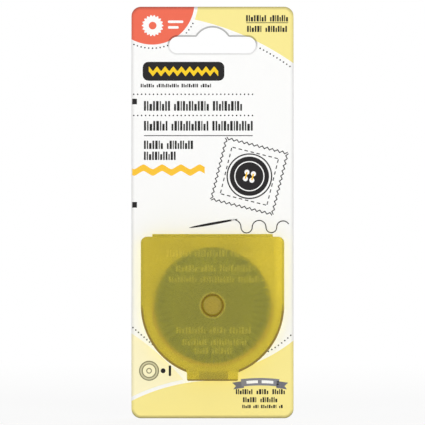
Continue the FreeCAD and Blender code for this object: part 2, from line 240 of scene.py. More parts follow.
def cardFinish():
    look = newFinish("printed_board")
    where, x, y, z = look.place()
    middleX = (cardLow.x + cardHigh.x) / 2 / mm
    middleZ = (cardLow.z + cardHigh.z) / 2 / mm
    halfX = (cardHigh.x - cardLow.x) / 2 / mm - cardPrint["cornerRadius"]
    halfZ = (cardHigh.z - cardLow.z) / 2 / mm - cardPrint["cornerRadius"]

    def inside(name):
        centreX, centreZ, radius = cardPrint[name]
        return radius - look.away(x, z, centreX, centreZ)

    coral = look.step(inside("coralDisc"))
    upper = look.step(-cardPrint["gap"] - inside("coralDisc")) * look.step(0 - inside("upperSweep"))
    low = look.step(cardPrint["lowerHalf"] - z)
    right = look.step(0 - inside("rightSweep")) * look.step(x) * low
    bottom = look.step(inside("lowerSweep"))
    cream = look.step(inside("creamOuter")) * look.step(0 - inside("creamLower")) * look.step(0 - x) * low

    ink = look.mix(cream, cardPrint["board"], cardPrint["cream"])
    for mask in (upper, right, bottom):
        ink = look.mix(mask, ink, cardPrint["yellow"])
    ink = look.mix(coral, ink, cardPrint["coral"])

    # Painted shade along the card's outer edges, darkest at the foot, then at the top, least on the sides
    sideX = abs(x - middleX) - halfX
    sideZ = abs(z - middleZ) - halfZ
    corner = (sideX.atLeast(0.0) ** 2 + sideZ.atLeast(0.0) ** 2) ** 0.5
    toEdge = cardPrint["cornerRadius"] - corner - sideX.atLeast(sideZ).atMost(0.0)
    rimShade = look.step(cardPrint["rimWidth"] * 0.5 - toEdge, 1 / cardPrint["rimWidth"])
    atEnd = look.step(sideZ - cardPrint["endStart"], cardPrint["endSharp"])
    foot = look.step(middleZ - z)
    endShade = cardPrint["topShade"] + foot * (cardPrint["footShade"] - cardPrint["topShade"])
    edgeShade = cardPrint["sideShade"] + atEnd * (endShade - cardPrint["sideShade"])
    ink = look.shade(ink, 1 - rimShade * edgeShade)

    # Painted shade along the hanging slot and its dome, darkest on the upper side, as if the cut edge were in
    # shadow there
    slot, dome = cardPrint["slot"], cardPrint["dome"]
    pastEnd = (abs(x) - slot["reach"]).atLeast(0.0)
    toSlot = (pastEnd**2 + (z - slot["middle"]) ** 2) ** 0.5 - slot["radius"]
    belowDome = look.step(slot["middle"] - z) * dome["radius"]
    toDome = look.away(x, z, 0.0, dome["middle"]) - dome["radius"] + belowDome
    toHole = toSlot.atMost(toDome)
    slotRimShade = look.step(cardPrint["slotLine"] - toHole, cardPrint["slotSharp"])
    high = look.step(z - slot["middle"], cardPrint["slotTurn"])
    slotShade = cardPrint["slotLowShade"] + high * (cardPrint["slotHighShade"] - cardPrint["slotLowShade"])
    ink = look.shade(ink, 1 - slotRimShade * slotShade)

    # Ink in front, the board's grey core at the cut edges, and plain white behind
    fibre = look.noise(where, *cardPrint["fibre"])
    ink = look.shade(ink, look.vary(fibre, *cardPrint["inkShade"]))
    coreNoise = look.noise(where, *cardPrint["coreNoise"])
    core = look.shade(cardPrint["core"], look.vary(coreNoise, *cardPrint["coreShade"]))
    back = look.shade(cardPrint["board"], look.vary(fibre, *cardPrint["backShade"]))
    front = look.step(cardFront / mm + cardPrint["frontDepth"] - y, cardPrint["depthSharp"])
    rear = look.step(y - cardHigh.y / mm + cardPrint["rearDepth"], cardPrint["depthSharp"])
    rough = look.vary(look.noise(where, *cardPrint["roughNoise"]), *cardPrint["rough"])
    sockets = {
        "Base Color": look.mix(front, look.mix(rear, core, back), ink),
        "Roughness": rough - front * cardPrint["inkGloss"],
        "Specular IOR Level": cardPrint["specular"],
        "Normal": look.bump(look.noise(where, *cardPrint["tooth"]), *cardPrint["toothBump"]),
    }
    return look.close(look.principled(sockets))


dress(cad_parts["hang_card"], cardFinish())
print("card finished")


# Inks, one material each, laid on the card as very thin solids
inkColours = {
    "black": paint(20, 17, 18),
    "white": paint(253, 253, 252),
    "warmYellow": paint(253, 200, 55),
    "brightYellow": paint(250, 208, 30),
    "ribbonGrey": paint(133, 133, 141),
    "ribbonShade": paint(112, 112, 121),
    "olive": paint(132, 128, 96),
    "tan": paint(207, 201, 164),
}
inkLayer = {
    "thick": 0.02,
    "sunk": 0.25,  # share of the thickness that lies below the card's face
    "mottle": (2.2, 3.0),
    "shade": (0.97, 0.06),
    "rough": (0.4, 0.12),
    "specular": 0.2,
    "tooth": (7.0, 3.0),
    "toothBump": (0.06, 0.00005),
}


def inkFinish(name, colour):
    look = newFinish("ink_" + name)
    where = look.place()[0]
    mottle = look.noise(where, *inkLayer["mottle"])
    sockets = {
        "Base Color": look.shade(colour, look.vary(mottle, *inkLayer["shade"])),
        "Roughness": look.vary(mottle, *inkLayer["rough"]),
        "Specular IOR Level": inkLayer["specular"],
        "Normal": look.bump(look.noise(where, *inkLayer["tooth"]), *inkLayer["toothBump"]),
    }
    return look.close(look.principled(sockets))


inks = {name: inkFinish(name, colour) for name, colour in inkColours.items()}


def finishPiece(name, bm, material, body, smooth=False):
    mesh = bpy.data.meshes.new(name)
    bm.to_mesh(mesh)
    bm.free()
    piece = bpy.data.objects.new(name, mesh)
    bpy.context.scene.collection.objects.link(piece)
    for face in mesh.polygons:
        face.use_smooth = smooth
    dress(piece, material)
    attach(piece, body)
    return piece


# Makes a flat drawing a thin solid that faces the viewer. Every drawing is in millimetres, and a place on the
# card is how far across and down it lies from the upper left corner, which is x and -y in the drawing
def layFlat(bm, face, thick, lift):
    bmesh.ops.solidify(bm, geom=bm.faces[:], thickness=thick)
    level = min(vert.co.z for vert in bm.verts)
    bmesh.ops.translate(bm, verts=bm.verts, vec=(0, 0, lift - level))
    bmesh.ops.recalc_face_normals(bm, faces=bm.faces[:])
    corner = Matrix.Translation((cardLow.x, face, cardHigh.z))
    bmesh.ops.transform(bm, matrix=corner @ toFront @ Matrix.Scale(mm, 4), verts=bm.verts)


# A print over another one goes on a higher layer
def printOn(name, bm, ink, layer=0):
    layFlat(bm, cardFront, inkLayer["thick"], (layer - inkLayer["sunk"]) * inkLayer["thick"])
    finishPiece(name, bm, inks[ink], "card_and_base")


# A block whose upper left corner is at that place
def bar(bm, across, down, width, height, rounding=0.0):
    made = bmesh.ops.create_grid(bm, x_segments=1, y_segments=1, size=0.5)["verts"]
    bmesh.ops.scale(bm, vec=(width, height, 1), verts=made)
    bmesh.ops.translate(bm, vec=(across + width / 2, -down - height / 2, 0), verts=made)
    if rounding:
        corners = {"affect": "VERTICES", "segments": 4, "profile": 0.5, "material": -1, "clamp_overlap": True}
        bmesh.ops.bevel(bm, geom=made, offset=rounding, **corners)


def disc(bm, across, down, radius, segments=40):
    made = bmesh.ops.create_circle(bm, cap_ends=True, radius=radius, segments=segments)["verts"]
    bmesh.ops.translate(bm, vec=(across, -down, 0), verts=made)
    return made


# A flat ring. Its outer edge can be pinked: waves round it, in and out by swing
def ring(bm, across, down, outer, inner, segments=96, waves=0, swing=0.0):
    loops = []
    for radius in (outer, inner):
        made = bmesh.ops.create_circle(bm, cap_ends=False, radius=radius, segments=segments)["verts"]
        loops.append(made)
    for vert in loops[0]:
        vert.co *= 1 + swing / outer * math.cos(waves * math.atan2(vert.co.y, vert.co.x))
    edges = {edge for loop in loops for vert in loop for edge in vert.link_edges}
    bmesh.ops.bridge_loops(bm, edges=list(edges))
    bmesh.ops.translate(bm, vec=(across, -down, 0), verts=loops[0] + loops[1])


# A thin ring along a circle, as wide as the pen
def hoop(bm, across, down, radius, pen, segments=96):
    ring(bm, across, down, radius + pen / 2, radius - pen / 2, segments)


# A band of that width along part of a circle, angles in degrees anticlockwise from the right
def sweepArc(bm, across, down, radius, width, start, end, steps=48):
    inner = bm.verts.new((radius - width / 2, 0, 0))
    outer = bm.verts.new((radius + width / 2, 0, 0))
    edge = bm.edges.new((inner, outer))
    turn = Matrix.Rotation(math.radians(start), 3, "Z")
    bmesh.ops.rotate(bm, verts=[inner, outer], cent=(0, 0, 0), matrix=turn)
    centre = Vector((across, -down, 0))
    bmesh.ops.translate(bm, vec=centre, verts=[inner, outer])
    way = {"cent": centre, "axis": (0, 0, 1), "angle": math.radians(end - start), "steps": steps}
    last = bmesh.ops.spin(bm, geom=[inner, outer, edge], use_merge=False, **way)["geom_last"]
    return [item for item in last if isinstance(item, bmesh.types.BMEdge)]


# A straight band between two places on the card
def line(bm, first, last, width):
    start, end = Vector((first[0], -first[1], 0)), Vector((last[0], -last[1], 0))
    along = end - start
    made = bmesh.ops.create_grid(bm, x_segments=1, y_segments=1, size=0.5)["verts"]
    bmesh.ops.scale(bm, vec=(along.length, width, 1), verts=made)
    turn = Matrix.Rotation(math.atan2(along.y, along.x), 3, "Z")
    bmesh.ops.rotate(bm, verts=made, cent=(0, 0, 0), matrix=turn)
    bmesh.ops.translate(bm, vec=(start + end) / 2, verts=made)


# Places at an even pitch along a circle given in the frame, as card places
def arcPlaces(centreX, centreZ, radius, start, end, pitch):
    count = max(2, round(abs(math.radians(end - start)) * radius / pitch) + 1)
    places = []
    for index in range(count):
        angle = math.radians(start + (end - start) * index / (count - 1))
        x = centreX + radius * math.cos(angle)
        z = centreZ + radius * math.sin(angle)
        places.append((x - cardLow.x / mm, cardHigh.z / mm - z))
    return places


# The same along a straight line between two card places
def linePlaces(first, last, pitch):
    count = max(1, round(math.dist(first, last) / pitch))
    shares = [index / count for index in range(count + 1)]
    return [tuple(a + (b - a) * share for a, b in zip(first, last)) for share in shares]


# Rows of small upright blocks in groups: across, down, height and each group's length
blockRows = {
    "gap": 1.6,
    "pitch": (0.5, 0.17),  # and this much more for each millimetre of height
    "space": 0.36,  # share of the pitch left open between two blocks
    "widths": (1.0, 0.7, 1.25, 0.95, 1.3, 0.6, 1.1, 0.85),
    "heights": (1.0, 1.0, 0.7, 1.0, 1.0, 1.0, 0.7),  # all stand on the row's foot
    "shifts": (3, 2),  # how far each group starts further along the widths and the heights
    "rounding": 0.12,
    "low": 2.0,  # a row lower than this has smaller gaps and rounding
    "rows": [
        (4.9, 36.95, 3.8, (10.2, 13.6, 11.4)),
        (4.9, 44.75, 3.8, (9.2, 14.4, 15.8)),
        (4.9, 52.45, 3.3, (7.4, 10.2)),
        (4.9, 56.75, 3.3, (12.4,)),
        (44.9, 3.3, 2.5, (7.8, 7.0)),
        (45.3, 7.5, 2.4, (5.6, 8.4)),
        (40.9, 149.8, 2.0, (6.5, 4.6, 4.9)),
        (43.7, 152.95, 2.0, (5.2, 6.6)),
        (43.4, 155.95, 1.3, (3.3, 2.0, 6.0, 1.4)),
        (3.6, 30.2, 1.4, (5.2, 8.6, 6.4, 4.0)),
    ],
    "rules": [(45.0, 6.15, 16.4, 0.25), (4.9, 50.35, 42.6, 0.32)],
}


# One row, whose style gives the pitch and the space
def blockRow(bm, style, across, down, height, lengths):
    base, growth = style["pitch"]
    widths, heights = blockRows["widths"], blockRows["heights"]
    widthShift, heightShift = blockRows["shifts"]
    small = min(1, height / blockRows["low"])
    for number, length in enumerate(lengths):
        count = max(1, round(length / (base + growth * height)))
        space = length / count * style["space"]
        shares = [widths[(index + widthShift * number) % len(widths)] for index in range(count)]
        unit = (length - space * (count - 1)) / sum(shares)
        left = across
        for index, share in enumerate(shares):
            tall = height * heights[(index + heightShift * number) % len(heights)]
            bar(bm, left, down + height - tall, unit * share, tall, blockRows["rounding"] * small)
            left += unit * share + space
        across += length + blockRows["gap"] * small


def makeBlocks():
    bm = bmesh.new()
    for row in blockRows["rows"]:
        blockRow(bm, blockRows, *row)
    for across, down, width, height in blockRows["rules"]:
        bar(bm, across, down, width, height)
    printOn("block_rows", bm, "black")


# A band of even height that zigzags with soft corners, like rick-rack. Start is a share of the pitch
def pinkedBand(bm, across, down, length, height, pitch, swing, start=0.0, soft=1.05, perPitch=16):
    low = bm.verts.new((across, -down - height / 2, 0))
    high = bm.verts.new((across, -down + height / 2, 0))
    band = [bm.edges.new((low, high))]
    made = [low, high]
    steps = round(length / pitch * perPitch)

    def wave(step):
        rise = 4 * abs((step / perPitch + start) % 1 - 0.5) - 1
        return swing * math.sin(soft * rise) / math.sin(soft)

    bmesh.ops.translate(bm, vec=(0, wave(0), 0), verts=made)
    for step in range(steps):
        grown = bmesh.ops.extrude_edge_only(bm, edges=band)["geom"]
        ends = [item for item in grown if isinstance(item, bmesh.types.BMVert)]
        sides = [item for item in grown if isinstance(item, bmesh.types.BMEdge)]
        band = [edge for edge in sides if set(edge.verts) == set(ends)]
        bmesh.ops.translate(bm, vec=(length / steps, wave(step + 1) - wave(step), 0), verts=ends)
        made += ends
    return made


# Dark pill with a zigzag stripe
badge = {
    "across": 4.4,
    "down": 21.6,
    "width": 32.0,
    "height": 7.4,
    "rounding": 2.2,
    "inset": 2.4,
    "stripe": 2.0,
    "pitch": 3.2,
    "swing": 0.9,
}


def makeBadge():
    bm = bmesh.new()
    bar(bm, badge["across"], badge["down"], badge["width"], badge["height"], badge["rounding"])
    printOn("badge_ground", bm, "black")
    bm = bmesh.new()
    left, middle = badge["across"] + badge["inset"], badge["down"] + badge["height"] / 2
    length = badge["width"] - 2 * badge["inset"]
    pinkedBand(bm, left, middle, length, badge["stripe"], badge["pitch"], badge["swing"])
    printOn("badge_stripe", bm, "brightYellow", layer=1)


# Dots that follow the fields of colour and rule off the rows. An arc is x, z and radius in the frame, then
# its first and last angles in degrees
dotLines = {
    "radius": 0.3,
    "sides": 14,
    "pitch": 1.53,
    "rules": [((0.9, 34.3), (47.4, 34.3)), ((0.9, 42.6), (47.4, 42.6)), ((0.6, 125.7), (8.2, 132.3))],
    "arcs": [
        (-23.68, 9.94, 18.05, -118.0, -27.5),
        (-30.13, -101.34, 105.2, 66.5, 54.1),
        (2.41, -90.55, 41.22, -64.0, -44.6),
    ],
    "clear": 0.55,  # least distance from the slot and the card's sides
}


def makeDots():
    slot, dome, clear = cardPrint["slot"], cardPrint["dome"], dotLines["clear"]

    def onBoard(place):
        x, z = place[0] + cardLow.x / mm, cardHigh.z / mm - place[1]
        toSlot = math.hypot(max(0, abs(x) - slot["reach"]), z - slot["middle"]) - slot["radius"]
        toDome = math.hypot(x, z - dome["middle"]) - dome["radius"]
        return min(toSlot, toDome) > clear and abs(x) < cardHigh.x / mm - clear

    bm = bmesh.new()
    runs = [linePlaces(*rule, dotLines["pitch"]) for rule in dotLines["rules"]]
    runs += [arcPlaces(*arc, dotLines["pitch"]) for arc in dotLines["arcs"]]
    for run in runs:
        for place in filter(onBoard, run):
            disc(bm, *place, dotLines["radius"], dotLines["sides"])
    printOn("dot_lines", bm, "black")


# Dark marks at the card's left edge
registerMarks = {"across": 0.3, "width": 1.85, "height": 2.2, "downs": (36.05, 76.5)}


def makeMarks():
    bm = bmesh.new()
    for down in registerMarks["downs"]:
        bar(bm, registerMarks["across"], down, registerMarks["width"], registerMarks["height"])
    printOn("edge_marks", bm, "black")


# Wavy braid from the card's left edge
rickRack = {
    "across": 0.3,
    "down": 64.0,
    "length": 28.4,
    "height": 2.6,
    "pitch": 7.36,
    "swing": 0.98,
    "start": 0.4,
}


def makeRickRack():
    bm = bmesh.new()
    pinkedBand(bm, **rickRack)
    printOn("rick_rack", bm, "warmYellow")


# White pinked wheel and two bars on the coral corner
cornerIcon = {
    "across": 8.3,
    "down": 7.4,
    "outer": 3.9,
    "inner": 1.5,
    "waves": 18,
    "swing": 0.32,
    "segments": 216,
    "bars": [(14.3, 5.4, 6.0), (14.3, 7.6, 4.2)],  # across, down and width
    "barHeight": 1.0,
    "barRounding": 0.4,
}


def makeCornerIcon():
    bm = bmesh.new()
    ring(bm, *(cornerIcon[key] for key in ("across", "down", "outer", "inner", "segments", "waves", "swing")))
    for across, down, width in cornerIcon["bars"]:
        bar(bm, across, down, width, cornerIcon["barHeight"], cornerIcon["barRounding"])
    printOn("corner_icon", bm, "white")


# Line picture: a button on a pinked square of cloth, with a threaded needle under it
picture = {
    "across": 46.2,
    "down": 66.4,
    "pen": 0.5,
    "finePen": 0.4,
    "tilt": -14.0,
    "side": 24.6,
    "pinks": 12,
    "pinkSwing": 0.42,
    "pinkSoft": 0.5,
    "perPink": 6,
    "seamInset": 2.7,
    "dash": 1.35,
    "dashPitch": 2.3,
    "buttonRim": 8.7,
    "button": 7.7,
    "groove": (5.9, 5.5),
    "hole": 0.98,
    "holeOut": 1.85,
    "stitch": 0.6,
    "needle": ((22.6, 86.6), (41.6, 83.2), 0.5),  # tip, blunt end and half width
    "eye": (1.7, 0.85, 0.2),  # from the blunt end, half length and half width
    # Across, down, radius, and first and last angles in degrees
    "thread": [
        (39.9, 86.4, 3.0, 90.0, 0.0),
        (45.1, 86.4, 2.2, 180.0, 360.0),
        (50.0, 86.4, 2.7, 180.0, 0.0),
        (54.8, 86.4, 2.1, 180.0, 360.0),
        (59.4, 86.4, 2.5, 180.0, 30.0),
    ],
}


# Turns them anticlockwise about a place on the card
def turnVerts(bm, verts, across, down, degrees):
    turn = Matrix.Rotation(math.radians(degrees), 3, "Z")
    bmesh.ops.rotate(bm, verts=verts, cent=(across, -down, 0), matrix=turn)


# A flat oval whose middle is that far left of a place, turned about the place
def oval(bm, place, fromPlace, halfLength, halfWidth, degrees, segments):
    made = disc(bm, 0, 0, 1, segments)
    bmesh.ops.scale(bm, vec=(halfLength, halfWidth, 1), verts=made)
    bmesh.ops.translate(bm, vec=(place[0] - fromPlace, -place[1], 0), verts=made)
    turnVerts(bm, made, *place, degrees)


def makePicture():
    across, down = picture["across"], picture["down"]
    pen, finePen, half = picture["pen"], picture["finePen"], picture["side"] / 2
    seam = half - picture["seamInset"]
    dash, dashPitch = picture["dash"], picture["dashPitch"]
    pinking = {"soft": picture["pinkSoft"], "perPitch": picture["perPink"]}
    pitch = picture["side"] / picture["pinks"]
    corner = (across - half, down - half)

    # Cloth with a pinked edge and a seam, one side at a time, then the button, the needle and its thread
    bm = bmesh.new()
    for quarter in range(4):
        degrees = picture["tilt"] + 90 * quarter
        edge = pinkedBand(bm, *corner, picture["side"], pen, pitch, picture["pinkSwing"], **pinking)
        turnVerts(bm, edge, across, down, degrees)
        before = set(bm.verts)
        for place, _ in linePlaces((across - seam, 0), (across + seam - dashPitch, 0), dashPitch):
            bar(bm, place + (dashPitch - dash) / 2, down - seam, dash, finePen)
        turnVerts(bm, [vert for vert in bm.verts if vert not in before], across, down, degrees)
    hoop(bm, across, down, picture["buttonRim"], pen)
    disc(bm, across, down, picture["button"], 96)
    tip, blunt, needleHalf = picture["needle"]
    halfLength = math.dist(blunt, tip) / 2
    degrees = math.degrees(math.atan2(tip[1] - blunt[1], blunt[0] - tip[0]))
    oval(bm, blunt, halfLength, halfLength, needleHalf, degrees, 48)
    for arcAcross, arcDown, radius, start, end in picture["thread"]:
        sweepArc(bm, arcAcross, arcDown, radius, finePen, start, end, 24)
    printOn("sewing_picture", bm, "black")

    # Groove and holes of the button, and the needle's eye
    bm = bmesh.new()
    ring(bm, across, down, *picture["groove"])
    for quarter in range(4):
        hole = disc(bm, across + picture["holeOut"], down, picture["hole"], 28)
        turnVerts(bm, hole, across, down, picture["tilt"] + 45 + 90 * quarter)
    oval(bm, blunt, *picture["eye"], degrees, 20)
    printOn("picture_lights", bm, "white", layer=1)

    # Two stitches through the holes
    bm = bmesh.new()
    reach = picture["holeOut"] * math.sqrt(0.5)
    for side in (-1, 1):
        x = across + side * reach
        line(bm, (x, down - reach), (x, down + reach), picture["stitch"])
    turnVerts(bm, bm.verts[:], across, down, picture["tilt"])
    printOn("picture_stitches", bm, "warmYellow", layer=2)


# Count icon: rings like a blade seen flat, then a dot and a bar
countIcon = {
    "across": 6.9,
    "down": 142.6,
    "rings": (3.7, 2.65),
    "pen": 0.4,
    "bore": 0.92,
    "borePen": 0.36,
    "dot": (12.4, 0.95),  # across and radius
    "bar": (14.6, 0.95, 4.2),  # across, width and height
    "barRounding": 0.38,
}


def makeCountIcon():
    across, down, pen = countIcon["across"], countIcon["down"], countIcon["pen"]
    bm = bmesh.new()
    ring(bm, across, down, *countIcon["rings"], 72)
    printOn("count_ring_tint", bm, "tan")
    bm = bmesh.new()
    for radius in countIcon["rings"]:
        hoop(bm, across, down, radius, pen, 72)
    hoop(bm, across, down, countIcon["bore"], countIcon["borePen"], 40)
    printOn("count_rings", bm, "olive", layer=1)
    bm = bmesh.new()
    dotAcross, dotRadius = countIcon["dot"]
    disc(bm, dotAcross, down, dotRadius, 32)
    barAcross, width, height = countIcon["bar"]
    bar(bm, barAcross, down - height / 2, width, height, countIcon["barRounding"])
    printOn("count_marks", bm, "black")


# Arched ribbon with swallow tails
ribbon = {
    "across": 50.4,
    "down": 146.9,
    "half": 7.4,
    "height": 2.9,
    "bend": 62.0,
    "tail": 3.4,
    "tailHeight": 2.668,
    "tailTuck": 0.9,  # in degrees, behind the band
    "tailDrop": 0.75,
    "tailSteps": 3,
    "notch": 1.2,
    "bars": ((-0.72, -0.12), (0.08, 0.7)),  # ends, as shares of the band's half
    "barHeight": 1.1,
}


def makeRibbon():
    across, down, bend = ribbon["across"], ribbon["down"], ribbon["bend"]
    spread = math.degrees(ribbon["half"] / bend)
    tail = math.degrees(ribbon["tail"] / bend)
    bm = bmesh.new()
    for side in (-1, 1):
        start, end = 90 - side * (spread - ribbon["tailTuck"]), 90 - side * (spread + tail)
        centre = (across, down + bend + ribbon["tailDrop"])
        last = sweepArc(bm, *centre, bend, ribbon["tailHeight"], start, end, ribbon["tailSteps"])
        split = bmesh.ops.subdivide_edges(bm, edges=last, cuts=1)["geom_inner"]
        middle = [item for item in split if isinstance(item, bmesh.types.BMVert)]
        bmesh.ops.translate(bm, vec=(-side * ribbon["notch"], 0, 0), verts=middle)
    printOn("ribbon_tails", bm, "ribbonShade")
    bm = bmesh.new()
    sweepArc(bm, across, down + bend, bend, ribbon["height"], 90 + spread, 90 - spread, 24)
    printOn("ribbon_band", bm, "ribbonGrey", layer=1)
    bm = bmesh.new()
    for share, lastShare in ribbon["bars"]:
        start, end = 90 - spread * share, 90 - spread * lastShare
        sweepArc(bm, across, down + bend, bend, ribbon["barHeight"], start, end, 10)
    printOn("ribbon_bars", bm, "white", layer=2)


makeBlocks()
makeBadge()
makeDots()
makeMarks()
makeRickRack()
makeCornerIcon()
makePicture()
makeCountIcon()
makeRibbon()
print("print laid on the card")


# Pinking blade: a ground steel disc whose rim is pleated
blade = {
    "bore": 4.0,
    "thick": 0.3,
    "rimStart": 15.0,
    "grindWidth": 1.1,
    "radius": 22.5,
    "swing": 0.8,
    "pleats": 48,
    "perPleat": 12,
    "land": 0.04,
    "crest": 1.5,
    "rimRings": 6,
    "rimLead": 1.2,
    "boreBreak": 0.08,
    "flatRing": 9.0,
    "grindMiddle": (0.55, 0.6),  # from its start, and share of the half thickness
    "sharpAngle": 24,
    "flatSteel": paint(99, 102, 107),
    "rimSteel": paint(122, 130, 132),
    "rimSharp": 0.15,
    "edgeSteel": paint(172, 175, 180),
    "edgeSharp": 8.0,
    # painted amber cast: the light that comes through the amber post, laid on the steel round it
    "amberCastSteel": paint(146, 122, 58),  # steel that the post tints
    "postReach": 4.6,
    "postSharp": 6.0,
    "turning": (9.0, 0.4),  # how fast the turned rings change outwards and through the blade
    "ringNoise": (1.0, 3.0, 0.6),
    "cloudNoise": (0.12, 3.0),
    "shade": (0.9, 0.1),
    "cloudShade": 0.08,
    "rough": (0.3, 0.1),
    "cloudRough": 0.08,
    "edgeGloss": 0.1,
    "ringBump": (0.12, 0.00005),
}


def steelFinish():
    look = newFinish("ground_steel")
    where, x, y, z = look.place()
    distance = look.away(x, z, hub.x / mm, hub.z / mm)
    outwards, through = blade["turning"]
    turning = look.add("CombineXYZ", {}, distance * outwards, y * through, 0.0)
    rings = look.noise(turning, *blade["ringNoise"])
    cloud = look.noise(where, *blade["cloudNoise"])
    pleated = look.step(distance - blade["rimStart"], blade["rimSharp"])
    grind = look.step(distance - blade["radius"] + blade["grindWidth"], blade["edgeSharp"])
    # Painted amber cast of light from the post on the steel round it
    postCast = look.step(blade["postReach"] - distance, blade["postSharp"])
    base = look.mix(pleated, blade["flatSteel"], blade["rimSteel"])
    base = look.mix(grind, base, blade["edgeSteel"])
    base = look.mix(postCast, base, blade["amberCastSteel"])
    rough = look.vary(rings, *blade["rough"]) + cloud * blade["cloudRough"]
    sockets = {
        "Base Color": look.shade(base, look.vary(rings, *blade["shade"]) + cloud * blade["cloudShade"]),
        "Metallic": 1.0,
        "Roughness": rough - grind * blade["edgeGloss"],
        "Normal": look.bump(rings, *blade["ringBump"]),
    }
    return look.close(look.principled(sockets))


# Half the section is drawn, mirrored and spun into a flat disc, and then the rim is waved
def makeBlade():
    bm = bmesh.new()
    bore, rimStart, radius, half = blade["bore"], blade["rimStart"], blade["radius"], blade["thick"] / 2
    grindStart = radius - blade["grindWidth"]
    rimStep = (grindStart - rimStart) / blade["rimRings"]
    rimSteps = [rimStart + rimStep * step for step in range(blade["rimRings"] + 1)]
    radii = [bore + blade["boreBreak"], blade["flatRing"], rimStart - blade["rimLead"], *rimSteps]
    middle, middleShare = blade["grindMiddle"]
    front = [(bore, half - blade["boreBreak"])] + [(reach, half) for reach in radii]
    front += [(grindStart + middle, half * middleShare), (radius, blade["land"] / 2)]
    section = front + [(reach, -depth) for reach, depth in reversed(front)]
    verts = [bm.verts.new((reach, depth, 0)) for reach, depth in section]
    edges = [bm.edges.new((verts[index - 1], verts[index])) for index in range(len(verts))]
    steps = blade["pleats"] * blade["perPleat"]
    turn = {"cent": (0, 0, 0), "axis": (0, 1, 0), "angle": 2 * math.pi, "steps": steps}
    bmesh.ops.spin(bm, geom=verts + edges, use_merge=True, **turn)
    bmesh.ops.remove_doubles(bm, verts=bm.verts, dist=0.0005)
    for vert in bm.verts:
        reach = math.hypot(vert.co.x, vert.co.z)
        growth = max(0, reach - rimStart) / (radius - rimStart)
        wave = math.cos(blade["pleats"] * math.atan2(vert.co.z, vert.co.x))
        vert.co.y -= blade["swing"] * growth * math.tanh(blade["crest"] * wave) / math.tanh(blade["crest"])
    bmesh.ops.recalc_face_normals(bm, faces=bm.faces)
    bmesh.ops.transform(bm, matrix=Matrix.Translation(hub) @ Matrix.Scale(mm, 4), verts=bm.verts)
    piece = finishPiece("pleated_blade", bm, steelFinish(), "card_and_base", smooth=True)
    piece.data.set_sharp_from_angle(angle=math.radians(blade["sharpAngle"]))
    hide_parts("pinking_blade")


makeBlade()
print("blade made")


# Frosted amber polypropylene: rough clear plastic mixed with a share of milk. Rays towards the lamps pass
# nearly whole, so the case throws next to no shadow
casePlastic = {
    "amber": paint(236, 220, 30),
    "amberShade": (0.97, 0.06),
    "milkShade": (0.96, 0.08),
    "shadow": paint(255, 255, 252),
    "rough": (0.25, 0.05),
    "milkRough": 0.33,
    "index": 1.49,
    "grain": (9.0, 3.0),
    "grainBump": (0.1, 0.00004),
    "cloud": (0.09, 2.0),
    "lid": {"milk": paint(153, 153, 14), "share": 0.26},
    "tray": {"milk": paint(229, 216, 22), "share": 0.62},
    "relief": {"milk": paint(220, 214, 70), "share": 0.17},
    # the milk carries the painted shade at the edge and the latch
    "thickShare": 0.7,  # of the clear plastic that turns milky at the edge and the latch
    "lowerSharp": 0.1,  # how fast the part below the post begins
}

# Where the milk takes another colour, mostly painted light and shade. A band is in millimetres from the
# post's axis or, above the axis, from the middle line, and sharp is how fast the colour comes in
caseTints = {
    # painted light: the side walls, a patch beside the latch and the upper right corner made lighter, more to
    # the right, where the light comes from
    "wallGlow": {
        "colour": paint(250, 238, 84),
        "band": (23.9, 27.2),
        "sharp": (0.35, 2.0),
        "share": (0.06, 0.02, 0.65),  # at the left, more for each millimetre to the right, and lost below
        "besideLatchGlow": 0.3,
        "corner": (23.2, 9.0, 1.0),  # starts from the post's axis and from the middle line, and how sharp
        "cornerShare": (0.028, 0.26),  # for each millimetre to the right, and the most
    },
    # painted highlight along the rib
    "ribHighlight": {"colour": paint(254, 240, 90), "band": (24.7, 25.9), "sharp": 1.2, "share": 0.1},
    # painted shade round the blade, at its seat
    "seatShade": {"colour": paint(190, 140, 30), "band": (22.9, 24.0), "sharp": 2.0, "share": 0.3},
    # painted shade over the tab where the tongue lies behind it
    "latch": {
        "colour": paint(150, 116, 24),
        "band": (-5.2, 6.1),  # across the card
        "sharp": 3.0,
        "share": 0.24,
        "top": -134.4,
        "topSharp": 1.0,
    },
    # painted highlight in a ring round the eye
    "haloHighlight": {"colour": paint(246, 228, 90), "band": (4.7, 5.15), "sharp": 6.0, "share": 0.7},
    "core": {"colour": paint(174, 151, 24), "radius": 4.35, "sharp": 4.0, "amberShare": 0.6},
    # painted shade along the outer edge, full below the post and across the tab's end
    "edge": {
        "colour": paint(112, 86, 16),
        "start": 27.1,
        "sharp": 3.0,
        "roundSharp": 0.2,
        "sideShare": 0.3,  # above the round end
        "depth": 1.0,  # behind the lid's face
        "depthSharp": 4.0,
        "tabHalf": 10.2,
        "tabSharp": 4.0,
        "tabEnd": -137.5,
        "endSharp": 6.0,
    },
}
